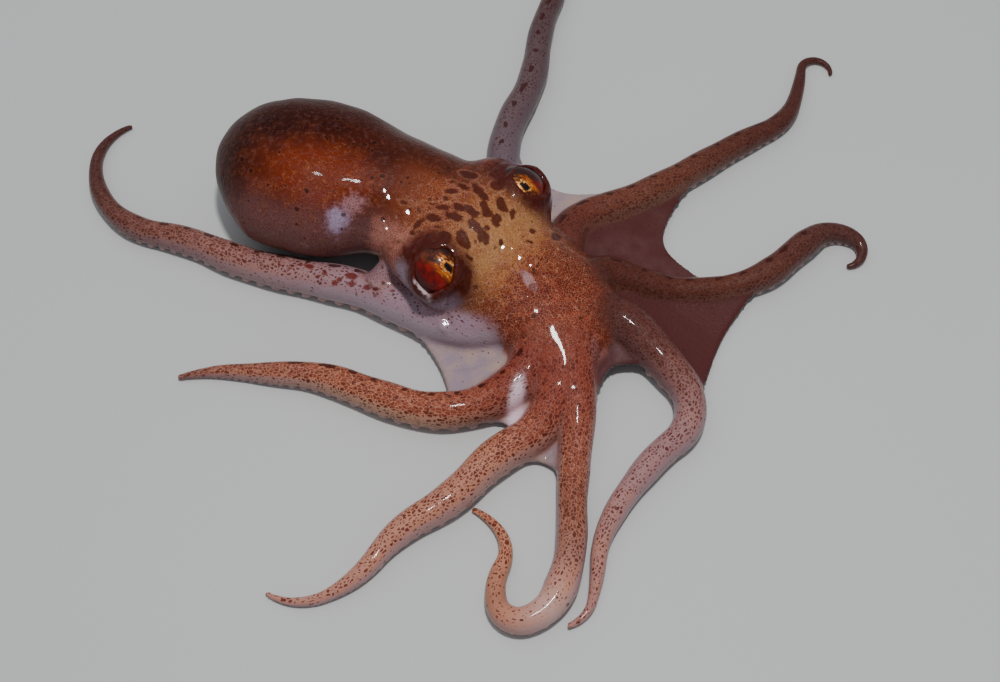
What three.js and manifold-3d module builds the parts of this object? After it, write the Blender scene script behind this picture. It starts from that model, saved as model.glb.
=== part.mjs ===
// A young red octopus at rest on a level floor: an egg-shaped mantle laid back, a head
// with two raised eyes, a small funnel, and eight tapering arms joined by a low web.
// Millimetres. +Z is up and the floor is z = 0. The arms are named R1 to R4 and L1 to L4
// from the front to the back of the animal's right and left sides.

import * as THREE from 'three';
import { mergeVertices } from 'three/addons/utils/BufferGeometryUtils.js';
import Module from 'manifold-3d';

const wasm = await Module();
wasm.setup();

// ---------------------------------------------------------------- driving dimensions

const GAP = 0.3; // between neighbouring pieces
const WELD = 1e-4; // vertices closer than this are one
const TRAIL_STEPS = 240; // straight steps in each midline

// The trunk is one limb carried from the front of the arm crown back to the mantle's end,
// so that the animal's right side lies to the left of the way it is carried.
const TRUNK = {
  start: [12.8, -3.9],
  length: 61.2,
  headings: [135, 136, 139, 139, 147, 162, 169, 166, 178],
  frontRound: 6,
  rearRound: 10,
  sides: 20,
  rings: 24,
};
// at, half-width, half-height, centre height: crown, head, neck, mantle
const TRUNK_SECTIONS = [
  [0, 6.6, 3.7, 4.0],
  [7, 7.6, 4.5, 4.6],
  [14, 8.3, 5.8, 6.5],
  [21, 9.8, 6.9, 8.4],
  [28.5, 9.0, 6.5, 8.2],
  [36, 9.1, 7.6, 7.8],
  [43, 11.5, 8.5, 7.8],
  [48.5, 11.7, 8.8, 8.1],
  [61.2, 9.7, 8.3, 7.7],
];
const CROWN_END = 13.5; // the crown gives way to the head
const NECK_AT = 29.5; // the head gives way to the mantle

const EYE = {
  at: 21.4, // along the trunk
  ballRadius: 3.9,
  ballOffset: 7.8, // from the trunk's midline
  ballHeight: 10.4,
  domeRadius: 4.7, // the raised flesh round the ball
  domeOffset: 7.8,
  domeHeight: 10.2,
  gazeLift: 66, // degrees above the horizontal
  gazeForward: 55, // degrees from straight out to the side towards the front
  lidRadius: 2.9, // of the opening between the lids
  sides: 14,
};

const FUNNEL = {
  at: 29.0,
  offset: 7.2,
  height: 5.0,
  length: 5.6,
  rootRadius: 2.6,
  lipRadius: 1.9,
  boreRadius: 1.0,
  boreDepth: 3.0,
  bearing: 220,
  drop: 14, // degrees below the horizontal
  sides: 14,
};

// The arms leave a ring round the mouth. Bearings and headings are in degrees, anticlockwise
// from +X. Headings and girths (diameters) are read at equal steps from root to tip.
const RING = { centre: [7.5, 2.5], radius: 5 };
const ROOT_HEIGHT = 4.3;
const SETTLE = 15; // by this length along the arm it lies on the floor
const SQUAT = 0.9; // centre height over radius, once settled
const ARM_SIDES = 8;
const FULLNESS = 1.06; // corner radius over that of the round arm that the facets stand for
const ARM_STEP = 2.6; // between rings of facets
const TIP_STEP = 2.1; // closer where the tips curl
const ARMS = [
  {
    name: 'R4', bearing: 181, length: 81,
    headings: [228, 158, 150, 166, 165, 152, 167, 128, 92, 26],
    girths: [6.8, 6.3, 5.5, 4.9, 4.3, 3.6, 2.4, 0.9],
  },
  {
    name: 'R3', bearing: 232, length: 55,
    headings: [285, 220, 190, 160, 155, 175, 175, 195],
    girths: [6.2, 5.8, 5.1, 4.9, 4.5, 3.6, 2.3, 0.9],
  },
  {
    name: 'R2', bearing: 262, length: 56,
    headings: [285, 260, 210, 230, 210, 235, 205, 145],
    girths: [6.2, 5.7, 5.4, 4.9, 4.3, 3.1, 1.8, 0.8],
  },
  {
    name: 'R1', bearing: 288, length: 61,
    headings: [280, 275, 270, 265, 265, 270, 260, 245, 200, 100, 65, 120, 155],
    girths: [6.4, 5.5, 4.4, 4.1, 4.4, 3.4, 2.2, 0.9],
  },
  {
    name: 'L1', bearing: 342, length: 55,
    headings: [20, -40, -50, -55, -95, -140, -130, -125, -115, -95, -105, -165],
    girths: [6.4, 5.8, 4.8, 4.2, 3.8, 3.0, 2.0, 0.9],
  },
  {
    name: 'L2', bearing: 388, length: 49,
    headings: [95, -15, -5, 5, 20, 45, 40, -35, -185],
    girths: [6.0, 5.0, 4.0, 3.6, 4.2, 4.1, 2.7, 0.9],
  },
  {
    name: 'L3', bearing: 428, length: 66,
    headings: [105, 80, 20, 30, 35, 35, 30, 70, 80, -110],
    girths: [5.8, 5.3, 4.9, 4.4, 3.9, 3.1, 1.9, 0.8],
  },
  {
    name: 'L4', bearing: 472, length: 77,
    headings: [105, 110, 90, 65, 85, 70, 95, 125],
    girths: [6.0, 5.6, 5.0, 4.6, 4.2, 3.5, 2.3, 0.8],
  },
];
const ARM_PARTS = ['base', 'middle', 'tip'];

// The web between each arm and the next one anticlockwise: how far it reaches along the
// two arms, and how deeply its free edge is scooped out between them.
const WEB = { thickness: 0.8, sag: 1.4, hem: 0.55, alongSteps: 6, acrossSteps: 4 };
const WEB_REACH = {
  R4_R3: [18, 17, 0.12],
  R3_R2: [16, 16, 0.15],
  R2_R1: [20, 20, 0.12],
  R1_L1: [16, 12, 0.45],
  L1_L2: [21, 27, 0.12],
  L2_L3: [19, 32, 0.27],
  L3_L4: [24, 25, 0.22],
  L4_R4: [21, 15, 0.15],
};

const SKIN = { roughness: 0.35, metalness: 0 };
const COLOURS = {
  mantle: 0x7a3b26,
  head: 0x9a6640,
  funnel: 0xb49aa0,
  eye: 0x8a4a20,
  crown: 0x8c4630,
  arm: 0xa8604a,
  web: 0x6e4642,
};

// ---------------------------------------------------------------- helpers

const radians = THREE.MathUtils.degToRad;

// Reads a row of values, spread evenly over 0 to 1, with straight runs between them.
function evenly(values, t) {
  const place = THREE.MathUtils.clamp(t, 0, 1) * (values.length - 1);
  const low = Math.min(Math.floor(place), values.length - 2);
  return THREE.MathUtils.lerp(values[low], values[low + 1], place - low);
}

// Walks from a starting point in short steps, turning evenly through the headings.
function trail(start, length, headings) {
  const points = [new THREE.Vector2(...start)];
  for (let i = 0; i < TRAIL_STEPS; i += 1) {
    const heading = radians(evenly(headings, (i + 0.5) / TRAIL_STEPS));
    const step = new THREE.Vector2(Math.cos(heading), Math.sin(heading));
    points.push(points[i].clone().addScaledVector(step, length / TRAIL_STEPS));
  }
  return (distance) => {
    const t = distance / length;
    const place = THREE.MathUtils.clamp(t, 0, 1) * TRAIL_STEPS;
    const low = Math.min(Math.floor(place), TRAIL_STEPS - 1);
    const heading = radians(evenly(headings, t));
    const beyond = distance - THREE.MathUtils.clamp(distance, 0, length);
    const forward = new THREE.Vector3(Math.cos(heading), Math.sin(heading), 0);
    const flat = points[low].clone().lerp(points[low + 1], place - low);
    const point = new THREE.Vector3(flat.x, flat.y, 0).addScaledVector(forward, beyond);
    return { point, forward, right: new THREE.Vector3(forward.y, -forward.x, 0) };
  };
}

// One column of a table of sections, read smoothly at any distance.
function sectionAt(table, column, distance) {
  const last = table.length - 1;
  const s = THREE.MathUtils.clamp(distance, table[0][0], table[last][0]);
  let i = 0;
  while (i < last - 1 && s > table[i + 1][0]) i += 1;
  const slope = (k) => {
    const a = table[Math.max(k - 1, 0)];
    const b = table[Math.min(k + 1, last)];
    return (b[column] - a[column]) / (b[0] - a[0]);
  };
  const span = table[i + 1][0] - table[i][0];
  const t = (s - table[i][0]) / span;
  const ease = 3 * t ** 2 - 2 * t ** 3;
  return (
    (1 - ease) * table[i][column] + (t ** 3 - 2 * t ** 2 + t) * span * slope(i)
    + ease * table[i + 1][column] + (t ** 3 - t ** 2) * span * slope(i + 1)
  );
}

// Quarter-round from 0 at an end to 1 once past the rounding.
function roundedEnd(distance, radius) {
  const short = 1 - THREE.MathUtils.clamp(distance / radius, 0, 1);
  return Math.sqrt(1 - short * short);
}

function solid(geometry) {
  geometry.deleteAttribute('normal');
  geometry.deleteAttribute('uv');
  const merged = mergeVertices(geometry, WELD);
  return new wasm.Manifold(new wasm.Mesh({
    numProp: 3,
    vertProperties: merged.attributes.position.array,
    triVerts: new Uint32Array(merged.index.array),
  }));
}

// Moves every vertex of a geometry by a rule, then makes it a solid.
function shaped(geometry, rule) {
  const position = geometry.attributes.position;
  const vertex = new THREE.Vector3();
  for (let i = 0; i < position.count; i += 1) {
    vertex.fromBufferAttribute(position, i);
    rule(vertex);
    position.setXYZ(i, vertex.x, vertex.y, vertex.z);
  }
  return solid(geometry);
}

const ball = (centre, radius, sides) => shaped(
  new THREE.SphereGeometry(radius, sides, Math.round(sides * 0.7)),
  (vertex) => vertex.add(centre),
);

const withoutAll = (piece, others) => others.reduce((left, other) => left.subtract(other), piece);

const largest = (piece) => piece.decompose().sort((a, b) => b.volume() - a.volume())[0];

// ---------------------------------------------------------------- trunk

const trunkAt = trail(TRUNK.start, TRUNK.length, TRUNK.headings);

// The trunk between two distances, fattened by grow. Its underside is flat on the floor.
function trunkPiece(from, to, grow) {
  const whole = shaped(new THREE.SphereGeometry(1, TRUNK.sides, TRUNK.rings), (vertex) => {
    const t = Math.acos(THREE.MathUtils.clamp(vertex.y, -1, 1)) / Math.PI;
    const across = Math.max(Math.hypot(vertex.x, vertex.z), 1e-9);
    const distance = t * (TRUNK.length + 2 * grow) - grow;
    const end = roundedEnd(distance + grow, TRUNK.frontRound)
      * roundedEnd(TRUNK.length + grow - distance, TRUNK.rearRound);
    const width = (sectionAt(TRUNK_SECTIONS, 1, distance) + grow) * end;
    const height = (sectionAt(TRUNK_SECTIONS, 2, distance) + grow) * end;
    const { point, right } = trunkAt(distance);
    const aside = -(vertex.x / across) * width;
    const lift = sectionAt(TRUNK_SECTIONS, 3, distance) + (vertex.z / across) * height;
    vertex.copy(point).addScaledVector(right, aside).setZ(Math.max(lift, -grow));
  });
  return whole.intersect(slice(from, to));
}

// All space between two planes square to the trunk.
function slice(from, to) {
  const reach = 40;
  const { point: a, forward: u } = trunkAt(from);
  const { point: b, forward: v } = trunkAt(to);
  const outline = new THREE.Shape([
    new THREE.Vector2(a.x + u.y * reach, a.y - u.x * reach),
    new THREE.Vector2(a.x - u.y * reach, a.y + u.x * reach),
    new THREE.Vector2(b.x - v.y * reach, b.y + v.x * reach),
    new THREE.Vector2(b.x + v.y * reach, b.y - v.x * reach),
  ]);
  const block = new THREE.ExtrudeGeometry(outline, { depth: 2 * reach, bevelEnabled: false });
  block.translate(0, 0, -reach);
  return solid(block);
}

// ---------------------------------------------------------------- eyes and head

// A point beside the trunk's midline: side is 1 for the right and -1 for the left.
function besideTrunk(distance, offset, height, side) {
  const { point, right } = trunkAt(distance);
  return point.clone().addScaledVector(right, -side * offset).setZ(height);
}

const eyeCentre = (side) => besideTrunk(EYE.at, EYE.ballOffset, EYE.ballHeight, side);

const eyeDome = (side, grow) => ball(
  besideTrunk(EYE.at, EYE.domeOffset, EYE.domeHeight, side),
  EYE.domeRadius + grow,
  EYE.sides,
);

// The round opening between the lids, a plug from inside the ball out past the dome.
function lidOpening(side) {
  const reach = 2 * EYE.domeRadius;
  const lift = radians(EYE.gazeLift);
  const forward = radians(EYE.gazeForward);
  const { right, forward: back } = trunkAt(EYE.at);
  const gaze = right.clone().multiplyScalar(-side * Math.cos(forward));
  gaze.addScaledVector(back, -Math.sin(forward)).multiplyScalar(Math.cos(lift)).setZ(Math.sin(lift));
  const plug = new THREE.CylinderGeometry(EYE.lidRadius, EYE.lidRadius, reach, EYE.sides);
  plug.translate(0, reach / 2, 0);
  const turn = new THREE.Quaternion().setFromUnitVectors(new THREE.Vector3(0, 1, 0), gaze);
  const centre = eyeCentre(side);
  return shaped(plug, (vertex) => vertex.applyQuaternion(turn).add(centre));
}

function headPiece(grow) {
  const between = trunkPiece(CROWN_END + GAP / 2 - grow, NECK_AT - GAP / 2 + grow, grow);
  return between.add(eyeDome(1, grow)).add(eyeDome(-1, grow));
}

const SIDES = [1, -1];
const crown = (grow) => trunkPiece(-grow, CROWN_END - GAP / 2 + grow, grow);
const mantle = (grow) => trunkPiece(NECK_AT + GAP / 2 - grow, TRUNK.length + grow, grow);
const eyeSpace = SIDES.map((side) => ball(eyeCentre(side), EYE.ballRadius + GAP, EYE.sides));
const head = withoutAll(
  headPiece(0).subtract(mantle(GAP)).subtract(crown(GAP)),
  [...eyeSpace, ...SIDES.map(lidOpening)],
);

// ---------------------------------------------------------------- arms

const ringPoint = (bearing) => [
  RING.centre[0] + RING.radius * Math.cos(radians(bearing)),
  RING.centre[1] + RING.radius * Math.sin(radians(bearing)),
];

// An arm's midline, radius and centre height at a distance from its root.
function armCourse({ bearing, length, headings, girths }) {
  const along = trail(ringPoint(bearing), length, headings);
  return (distance) => {
    const radius = evenly(girths, distance / length) / 2;
    const settled = THREE.MathUtils.smoothstep(distance, 0, SETTLE);
    const height = THREE.MathUtils.lerp(ROOT_HEIGHT, SQUAT * radius, settled);
    return { ...along(distance), radius, height };
  };
}

// A length of arm between two distances: a cylinder bent along the arm and tapered with it.
function armPiece(course, from, to, grow, step = ARM_STEP) {
  const rings = Math.max(1, Math.round((to - from) / step));
  const geometry = new THREE.CylinderGeometry(1, 1, 1, ARM_SIDES, rings);
  geometry.rotateY(Math.PI / ARM_SIDES); // a flat side faces the floor
  return shaped(geometry, (vertex) => {
    const distance = THREE.MathUtils.lerp(from, to, vertex.y + 0.5);
    const { point, right, radius, height } = course(distance);
    const corner = FULLNESS * radius + grow;
    const aside = vertex.x * corner;
    const lift = height + vertex.z * corner;
    vertex.copy(point).addScaledVector(right, aside).setZ(Math.max(lift, -grow));
  });
}

const courses = Object.fromEntries(ARMS.map((arm) => [arm.name, armCourse(arm)]));
const wholeArm = (arm, grow) => (
  armPiece(courses[arm.name], -grow, arm.length + grow, grow, TIP_STEP)
);
const armSpace = Object.fromEntries(ARMS.map((arm) => [arm.name, wholeArm(arm, GAP)]));
const bodySpace = [crown(GAP), headPiece(GAP), mantle(GAP)];

// Each arm in three lengths, clear of the trunk and of the arms before it in the list.
function armLengths(arm, index) {
  const before = ARMS.slice(0, index).map(({ name }) => armSpace[name]);
  return ARM_PARTS.map((part, i) => {
    const from = (arm.length * i) / ARM_PARTS.length + (i > 0 ? GAP / 2 : 0);
    const to = (arm.length * (i + 1)) / ARM_PARTS.length - (i < ARM_PARTS.length - 1 ? GAP / 2 : 0);
    const step = part === 'tip' ? TIP_STEP : ARM_STEP;
    const piece = armPiece(courses[arm.name], from, to, 0, step);
    return { part, piece: largest(withoutAll(piece, [...bodySpace, ...before])) };
  });
}

// ---------------------------------------------------------------- web

// A sheet between two arms: u runs outwards, v from one arm to the other, w through it.
function webSheet(one, other, [reachOne, reachOther, scoop]) {
  const { thickness, sag, hem, alongSteps, acrossSteps } = WEB;
  const geometry = new THREE.BoxGeometry(1, 1, 1, alongSteps, acrossSteps, 1);
  return shaped(geometry, (vertex) => {
    const v = vertex.y + 0.5;
    const middle = Math.sin(Math.PI * v);
    const u = (vertex.x + 0.5) * (1 - scoop * middle);
    const a = courses[one](u * reachOne);
    const b = courses[other](u * reachOther);
    const lift = THREE.MathUtils.lerp(a.height, b.height, v) - sag * middle * u;
    const w = vertex.z * thickness;
    vertex.copy(a.point).lerp(b.point, v).setZ(Math.max(lift, hem) + w);
  });
}

const allArmSpace = Object.values(armSpace);
const webs = Object.entries(WEB_REACH).map(([pair, reaches]) => {
  const [one, other] = pair.split('_');
  const sheet = withoutAll(webSheet(one, other, reaches), [...bodySpace, ...allArmSpace]);
  return { name: `web_${pair}`, piece: largest(sheet) };
});

// ---------------------------------------------------------------- funnel

// A short tapering tube with an open tip, pointing out from under the mantle's right edge.
function funnelPiece() {
  const { length, rootRadius, lipRadius, boreRadius, boreDepth } = FUNNEL;
  const profile = [
    [0, 0],
    [rootRadius, 0],
    [(rootRadius + lipRadius) / 2, length * 0.5],
    [lipRadius, length],
    [boreRadius, length],
    [boreRadius, length - boreDepth],
    [0, length - boreDepth],
  ].map(([radius, y]) => new THREE.Vector2(radius, y));
  const bearing = radians(FUNNEL.bearing);
  const drop = radians(FUNNEL.drop);
  const axis = new THREE.Vector3(
    Math.cos(bearing) * Math.cos(drop),
    Math.sin(bearing) * Math.cos(drop),
    -Math.sin(drop),
  );
  const turn = new THREE.Quaternion().setFromUnitVectors(new THREE.Vector3(0, 1, 0), axis);
  const root = besideTrunk(FUNNEL.at, FUNNEL.offset, FUNNEL.height, 1);
  return shaped(
    new THREE.LatheGeometry(profile, FUNNEL.sides),
    (vertex) => vertex.applyQuaternion(turn).add(root),
  );
}

const funnel = largest(withoutAll(funnelPiece(), [...bodySpace, armSpace.R4]));

// ---------------------------------------------------------------- assembly

const animal = new THREE.Group();

function addMesh(name, geometry, colour) {
  geometry.computeVertexNormals();
  const material = new THREE.MeshStandardMaterial({ ...SKIN, color: colour });
  const mesh = new THREE.Mesh(geometry, material);
  mesh.name = name;
  animal.add(mesh);
  return mesh;
}

function addPiece(name, piece, colour) {
  const { vertProperties, triVerts } = piece.getMesh();
  const geometry = new THREE.BufferGeometry();
  geometry.setAttribute('position', new THREE.BufferAttribute(vertProperties, 3));
  geometry.setIndex(new THREE.BufferAttribute(triVerts, 1));
  return addMesh(name, geometry, colour);
}

addPiece('mantle', mantle(0), COLOURS.mantle);
addPiece('head', head, COLOURS.head);
addPiece('arm_crown', crown(0), COLOURS.crown);
addPiece('funnel', funnel, COLOURS.funnel);
for (const side of SIDES) {
  const geometry = new THREE.SphereGeometry(EYE.ballRadius, EYE.sides, EYE.sides - 4);
  const eye = addMesh(side > 0 ? 'eye_right' : 'eye_left', geometry, COLOURS.eye);
  eye.position.copy(eyeCentre(side));
}
ARMS.forEach((arm, index) => {
  for (const { part, piece } of armLengths(arm, index)) {
    addPiece(`arm_${arm.name}_${part}`, piece, COLOURS.arm);
  }
});
for (const { name, piece } of webs) addPiece(name, piece, COLOURS.web);

// The origin is the middle of the animal's floor plan, on the floor.
const extent = new THREE.Box3().setFromObject(animal);
const middle = extent.getCenter(new THREE.Vector3());
animal.position.set(-middle.x, -middle.y, -extent.min.z);
const group = new THREE.Group();
group.add(animal);

export default group;
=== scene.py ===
import math

import bmesh
import bpy
import numpy as np
import openvdb
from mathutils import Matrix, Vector


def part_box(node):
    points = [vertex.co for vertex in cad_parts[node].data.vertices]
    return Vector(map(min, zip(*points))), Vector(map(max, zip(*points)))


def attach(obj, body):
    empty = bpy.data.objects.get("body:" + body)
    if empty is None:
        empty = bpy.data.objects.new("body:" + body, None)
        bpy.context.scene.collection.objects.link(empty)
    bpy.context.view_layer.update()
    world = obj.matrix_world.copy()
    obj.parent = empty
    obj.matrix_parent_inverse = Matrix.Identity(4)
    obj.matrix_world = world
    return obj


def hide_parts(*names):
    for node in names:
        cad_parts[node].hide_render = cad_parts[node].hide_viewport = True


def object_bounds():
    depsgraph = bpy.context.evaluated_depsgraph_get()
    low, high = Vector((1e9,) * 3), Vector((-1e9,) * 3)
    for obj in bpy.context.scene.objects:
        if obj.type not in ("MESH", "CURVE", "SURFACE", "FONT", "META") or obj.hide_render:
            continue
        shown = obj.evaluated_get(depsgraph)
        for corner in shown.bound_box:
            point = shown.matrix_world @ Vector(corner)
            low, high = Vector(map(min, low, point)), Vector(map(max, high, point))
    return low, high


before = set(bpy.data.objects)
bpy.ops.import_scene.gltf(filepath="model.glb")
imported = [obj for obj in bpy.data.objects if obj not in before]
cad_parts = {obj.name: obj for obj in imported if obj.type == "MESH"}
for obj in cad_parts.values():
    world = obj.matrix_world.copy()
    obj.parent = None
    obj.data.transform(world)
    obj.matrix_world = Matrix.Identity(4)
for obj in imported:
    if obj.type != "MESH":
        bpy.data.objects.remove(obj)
cad_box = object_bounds()
MM = 0.001

# ---------------------------------------------------------------- the view
# The animal is looked down on from the front, as by someone bending over it.
# The floor is a plain pale board, lit by a broad soft lamp, a small bright one and a pale room.

VIEW_POINT = Vector((3.88, -19.51, 0.0)) * MM
VIEW_LIFT = math.radians(58.0)
VIEW_REACH = 225.0 * MM
SENSOR_WIDTH, LENS = 36.0, 60.0

camera_data = bpy.data.cameras.new("view")
camera_data.sensor_width = SENSOR_WIDTH
camera_data.lens = LENS
camera_data.clip_start = 0.01
camera_data.clip_end = 20.0
camera = bpy.data.objects.new("view", camera_data)
camera.location = VIEW_POINT + VIEW_REACH * Vector((0, -math.cos(VIEW_LIFT), math.sin(VIEW_LIFT)))
camera.rotation_euler = (math.pi / 2 - VIEW_LIFT, 0, 0)
bpy.context.scene.collection.objects.link(camera)
bpy.context.scene.camera = camera


class Sock:
    """A shader socket whose sums and products add the Math nodes that work them out."""

    def __init__(self, tree, socket):
        self.tree = tree
        self.socket = socket

    def node(self, kind, settings=None, inputs=None, out=0):
        """Adds a node, sets its settings, then fills its inputs with values or links."""
        made = self.tree.nodes.new(kind)
        for name, value in (settings or {}).items():
            if name == "stops":
                fill_ramp(made.color_ramp, value)
            else:
                setattr(made, name, value)
        for name, value in (inputs or {}).items():
            put(self.tree, made.inputs[name], value)
        return Sock(self.tree, made.outputs[out])

    def maths(self, operation, *values):
        """A Math node on this socket and the values that follow it."""
        return self.node("ShaderNodeMath", {"operation": operation}, dict(enumerate((self, *values))))

    def __add__(self, other):
        return self.maths("ADD", other)

    def __sub__(self, other):
        return self.maths("SUBTRACT", other)

    def __rsub__(self, other):
        return self.maths("MULTIPLY_ADD", -1.0, other)

    def __mul__(self, other):
        return self.maths("MULTIPLY", other)

    def __pow__(self, other):
        return self.maths("POWER", other)

    __radd__, __rmul__ = __add__, __mul__

    def ramp(self, low, high):
        """0 below low, 1 above high and smooth between them; low may be the larger."""
        inputs = {"Value": self, "From Min": low, "From Max": high}
        return self.node("ShaderNodeMapRange", {"interpolation_type": "SMOOTHSTEP"}, inputs)

    def colours(self, *stops):
        """A colour ramp on this socket, from (place, colour) pairs."""
        return self.node("ShaderNodeValToRGB", {"stops": stops}, {"Fac": self})

    def mix(self, here, there):
        """The colour here where this socket is 0 and there where it is 1."""
        return self.node("ShaderNodeMix", {"data_type": "RGBA"}, {0: self, 6: here, 7: there}, out=2)

    def cover(self, *layers):
        """This colour under layers of (mask, 0 to 255 colour), laid on one after another."""
        under = self
        for mask, colour in layers:
            under = mask.mix(under, srgb(*colour))
        return under

    def scaled(self, by):
        """This vector times a number."""
        return self.node("ShaderNodeVectorMath", {"operation": "SCALE"}, {0: self, 3: by})

    def noise(self, scale, detail=2.0, out=0):
        """Cloudy noise at this place: its value, or its colour from output 1."""
        inputs = {"Vector": self, "Scale": scale, "Detail": detail}
        return self.node("ShaderNodeTexNoise", {}, inputs, out)

    def mark(self, name):
        """A value stored on the piece's points."""
        return self.node("ShaderNodeAttribute", {"attribute_name": name}, out=2)


def put(tree, socket, value):
    """Links a Sock to a socket, or sets it to a value."""
    if isinstance(value, Sock):
        tree.links.new(value.socket, socket)
    elif isinstance(value, tuple) and len(value) == 3 and len(socket.default_value) == 4:
        socket.default_value = (*value, 1.0)
    else:
        socket.default_value = value


def fill_ramp(ramp, stops):
    """Gives a colour ramp its (place, colour) stops."""
    while len(ramp.elements) < len(stops):
        ramp.elements.new(0.5)
    for element, (place, colour) in zip(ramp.elements, stops):
        element.position = place
        element.color = (*colour, 1.0)


def material(name, **constants):
    """A new material; constants are set on its Principled shader's own sockets. Returns it,
    the place on the piece as a Sock, and a function that links the shader's other sockets."""
    made = bpy.data.materials.new(name)
    made.use_nodes = True
    shader = made.node_tree.nodes["Principled BSDF"]

    def paint(**values):
        for socket, value in values.items():
            put(made.node_tree, shader.inputs[socket.replace("_", " ")], value)

    paint(**constants)
    return made, Sock(made.node_tree, None).node("ShaderNodeTexCoord", out=3), paint


def srgb(red, green, blue):
    """A linear colour from its 0 to 255 values."""
    share = np.array([red, green, blue]) / 255.0
    return tuple(np.where(share < 0.04045, share / 12.92, ((share + 0.055) / 1.055) ** 2.4).tolist())


FLOOR_SIZE, FLOOR_DROP = 4.0, 0.02 * MM
bpy.ops.mesh.primitive_plane_add(size=FLOOR_SIZE, location=(0, 0, -FLOOR_DROP))
floor = bpy.context.object
floor.name = "floor"
board, place, paint = material("pale_board", Roughness=0.6)
paint(Base_Color=place.noise(9.0, 3.0).mix((0.60, 0.60, 0.59), (0.66, 0.66, 0.65)))
floor.data.materials.append(board)


def lamp(name, power, size, place, aim=(0, 0, 0)):
    """A square area lamp at a place, turned towards its aim."""
    data = bpy.data.lights.new(name, "AREA")
    data.energy = power
    data.size = size
    made = bpy.data.objects.new(name, data)
    made.location = place
    made.rotation_euler = (Vector(aim) - Vector(place)).to_track_quat("-Z", "Y").to_euler()
    bpy.context.scene.collection.objects.link(made)


lamp("soft_lamp", 1.3, 1.1, (-0.3, 0.35, 0.75))
BRIGHT_PLACE = (0.03, -0.05, 0.42)
lamp("bright_lamp", 1.05, 0.035, BRIGHT_PLACE)
world = bpy.data.worlds.new("pale_room")
world.use_nodes = True
room = world.node_tree.nodes["Background"]
room.inputs["Color"].default_value = (0.78, 0.83, 0.9, 1)
room.inputs["Strength"].default_value = 0.33
bpy.context.scene.world = world

# ---------------------------------------------------------------- courses of trunk and arms
# Trunk and arms are soft limbs, each carried along a midline that lies over the floor.
# Lengths are in millimetres here; headings are in degrees, anticlockwise from +X.

TRUNK_START = (12.8, -3.9)
TRUNK_LENGTH = 61.2
TRUNK_HEADINGS = [135, 136, 139, 139, 147, 162, 169, 166, 178]
FRONT_ROUND, REAR_ROUND = 6.0, 10.0
# distance, half-width, half-height and centre height: crown, head, neck, mantle
TRUNK_SECTIONS = np.array([
    (0, 6.6, 3.7, 4.0),
    (7, 7.6, 4.5, 4.6),
    (14, 8.3, 5.8, 6.5),
    (21, 9.8, 6.9, 8.4),
    (28.5, 9.0, 6.5, 8.2),
    (36, 9.1, 7.6, 7.8),
    (43, 11.5, 8.5, 7.8),
    (48.5, 11.7, 8.8, 8.1),
    (61.2, 9.7, 8.3, 7.7),
])
EYE_AT, EYE_OFFSET, EYE_HEIGHT = 21.4, 7.8, 10.4

RING_CENTRE, RING_RADIUS = (7.5, 2.5), 5.0
ROOT_HEIGHT, SETTLE, SQUAT = 4.3, 15.0, 0.9
# bearing from the ring, length, headings and girths at equal steps from root to tip
ARMS = {
    "R4": (181, 81, [228, 158, 150, 166, 165, 152, 167, 128, 92, 26],
           [6.8, 6.3, 5.5, 4.9, 4.3, 3.6, 2.4, 0.9]),
    "R3": (232, 55, [285, 220, 190, 160, 155, 175, 175, 195],
           [6.2, 5.8, 5.1, 4.9, 4.5, 3.6, 2.3, 0.9]),
    "R2": (262, 56, [285, 260, 210, 230, 210, 235, 205, 145],
           [6.2, 5.7, 5.4, 4.9, 4.3, 3.1, 1.8, 0.8]),
    "R1": (288, 61, [280, 275, 270, 265, 265, 270, 260, 245, 200, 100, 65, 120, 155],
           [6.4, 5.5, 4.4, 4.1, 4.4, 3.4, 2.2, 0.9]),
    "L1": (342, 55, [20, -40, -50, -55, -95, -140, -130, -125, -115, -95, -105, -165],
           [6.4, 5.8, 4.8, 4.2, 3.8, 3.0, 2.0, 0.9]),
    "L2": (388, 49, [95, -15, -5, 5, 20, 45, 40, -35, -185],
           [6.0, 5.0, 4.0, 3.6, 4.2, 4.1, 2.7, 0.9]),
    "L3": (428, 66, [105, 80, 20, 30, 35, 35, 30, 70, 80, -110],
           [5.8, 5.3, 4.9, 4.4, 3.9, 3.1, 1.9, 0.8]),
    "L4": (472, 77, [105, 110, 90, 65, 85, 70, 95, 125],
           [6.0, 5.6, 5.0, 4.6, 4.2, 3.5, 2.3, 0.8]),
}


def evenly(values, share):
    """A row of values spread evenly over 0 to 1, read with straight runs between them."""
    return np.interp(np.asarray(share) * (len(values) - 1), np.arange(len(values)), values)


def walk(start, length, headings, steps=240):
    """Short equal steps from the start, each turned to the heading read at its middle.
    Returns the points, the unit tangents at them, and their distances from the start."""
    turn = np.radians(evenly(headings, (np.arange(steps) + 0.5) / steps))
    step = np.stack([np.cos(turn), np.sin(turn)], 1) * (length / steps)
    points = np.vstack([start, start + np.cumsum(step, 0)])
    share = np.linspace(0, 1, steps + 1)
    turn = np.radians(evenly(headings, share))
    return points, np.stack([np.cos(turn), np.sin(turn)], 1), share * length


def smooth_columns(table, distance):
    """Reads every column of a table of sections with a cubic through its rows (slopes from
    each row's two neighbours), at any array of distances."""
    at = table[:, 0]
    low = np.maximum(np.arange(len(at)) - 1, 0)
    high = np.minimum(np.arange(len(at)) + 1, len(at) - 1)
    slope = (table[high] - table[low]) / (at[high] - at[low])[:, None]
    s = np.clip(distance, at[0], at[-1])
    i = np.clip(np.searchsorted(at, s, side="right") - 1, 0, len(at) - 2)
    span = (at[i + 1] - at[i])[..., None]
    t = (s - at[i])[..., None] / span
    ease = 3 * t**2 - 2 * t**3
    return ((1 - ease) * table[i] + (t**3 - 2 * t**2 + t) * span * slope[i]
            + ease * table[i + 1] + (t**3 - t**2) * span * slope[i + 1])


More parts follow.
